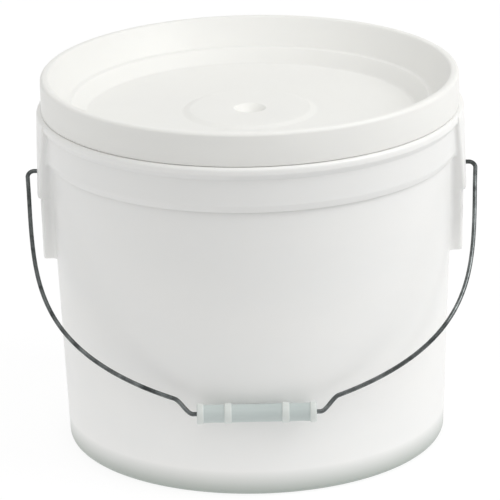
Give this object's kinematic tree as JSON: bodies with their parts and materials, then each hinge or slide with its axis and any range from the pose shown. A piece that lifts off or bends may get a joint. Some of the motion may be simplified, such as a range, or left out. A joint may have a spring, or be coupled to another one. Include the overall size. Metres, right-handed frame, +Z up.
{
  "type": "lidded pail",
  "caption": "Round white plastic pail with a press-on recessed lid, moulded side ears, a swinging wire bail and a turning plastic grip.",
  "frame": {"origin": "centre of the pail's underside, on the pail's own axis, in the plane it rests on", "axes": "+Z up along the pail's axis, +X along the bail's pivot axis, -Y to the side where the bail hangs"},
  "size_m": [0.3314, 0.3124, 0.2763],
  "materials": {
    "pail_plastic": "smooth moulded polyethylene, soft sheen, slightly translucent",
    "lid_plastic": "moulded polyethylene, soft sheen",
    "gasket_rubber": "soft pale rubber",
    "zinc_wire": "bright zinc plated wire",
    "grip_plastic": "moulded polypropylene, satin"
  },
  "bodies": {
    "pail": {"pail": "pail_plastic"},
    "lid": {"lid": "lid_plastic", "lid_gasket": "gasket_rubber"},
    "bail": {"bail_wire": "zinc_wire"},
    "grip": {"bail_grip": "grip_plastic"}
  },
  "joints": [
    {"name": "lid_lift", "type": "slide", "parent": "pail", "child": "lid", "axis": [0, 0, 1], "range_m": [0, 0.06]},
    {"name": "bail_swing", "type": "hinge", "parent": "pail", "child": "bail", "pos_m": [0, 0, 0.2033], "axis": [-1, 0, 0], "range_deg": [0, 264]},
    {"name": "grip_spin", "type": "hinge", "parent": "bail", "child": "grip", "pos_m": [0, -0.15004, 0.0679], "axis": [1, 0, 0], "continuous": true}
  ]
}
